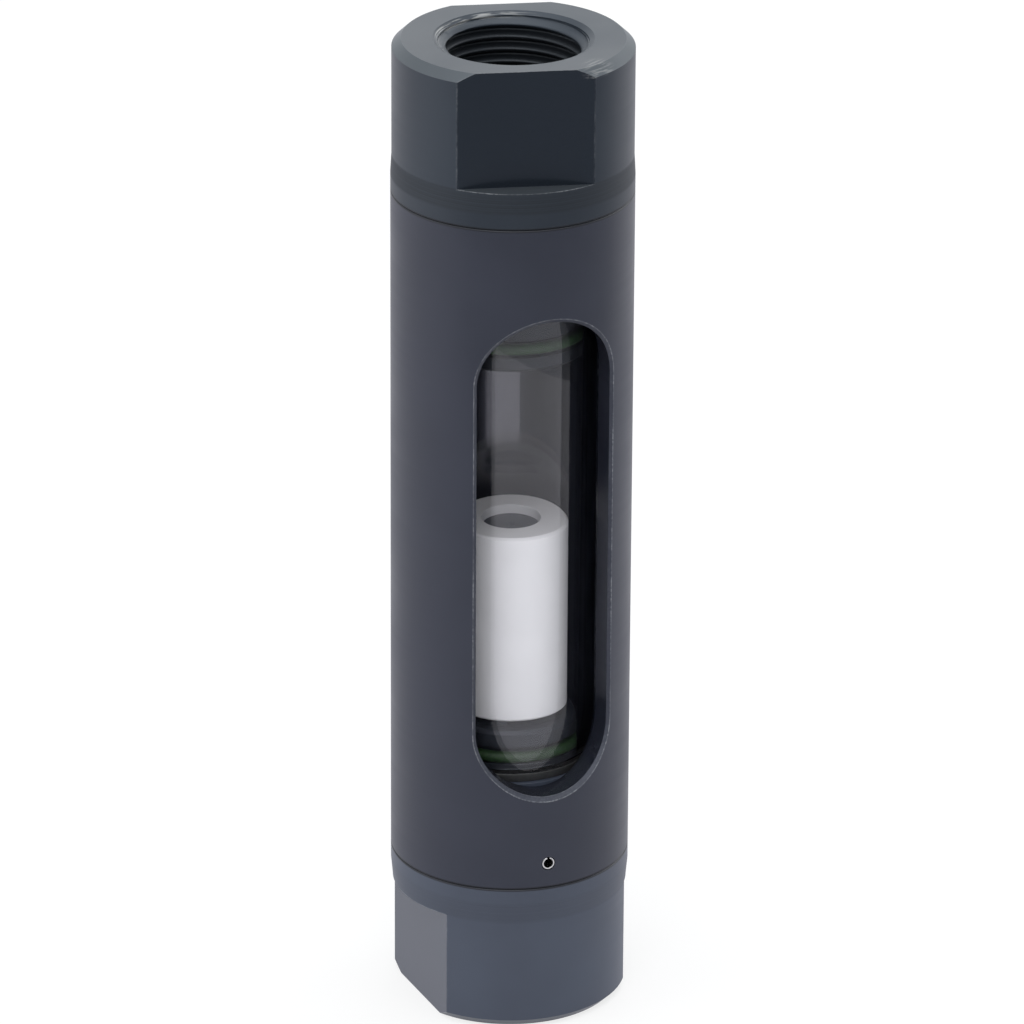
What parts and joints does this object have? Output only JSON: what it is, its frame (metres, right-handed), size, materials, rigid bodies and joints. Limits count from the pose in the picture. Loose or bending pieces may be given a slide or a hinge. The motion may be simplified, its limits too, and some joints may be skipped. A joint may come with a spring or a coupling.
{
  "type": "rotameter",
  "caption": "Plastic in-line variable-area flow meter: windowed housing tube, clear sight tube with sliding float, female threaded ports with wrench flats.",
  "frame": {"origin": "centre of the lower connector's end face", "axes": "+Z along the flow, upwards; -Y through the middle of the window"},
  "size_m": [0.034, 0.034, 0.144],
  "materials": {
    "pvc_housing": "turned, satin dark grey PVC",
    "pvc_connector": "turned, satin dark grey PVC",
    "tube_glass": "clear, fire-polished ends",
    "gasket_rubber": "black, flat",
    "green_rubber": "dark green, satin",
    "pvc_stop": "moulded dark grey",
    "white_ptfe": "turned, white and slightly waxy",
    "plug_pvc": "grey, satin",
    "magnet": "plain",
    "pin_steel": "bright spring steel"
  },
  "bodies": {
    "meter": {"housing": "pvc_housing", "top_connector": "pvc_connector", "bottom_connector": "pvc_connector", "sight_tube": "tube_glass", "upper_tube_gasket": "gasket_rubber", "lower_tube_gasket": "gasket_rubber", "upper_o_ring": "green_rubber", "lower_o_ring": "green_rubber", "upper_float_stop": "pvc_stop", "lower_float_stop": "pvc_stop", "spring_pin": "pin_steel"},
    "float": {"float_body": "white_ptfe", "float_plug": "plug_pvc", "float_magnet": "magnet"}
  },
  "joints": [
    {"name": "float_lift", "type": "slide", "parent": "meter", "child": "float", "axis": [0, 0, 1], "range_m": [0, 0.02485]}
  ]
}
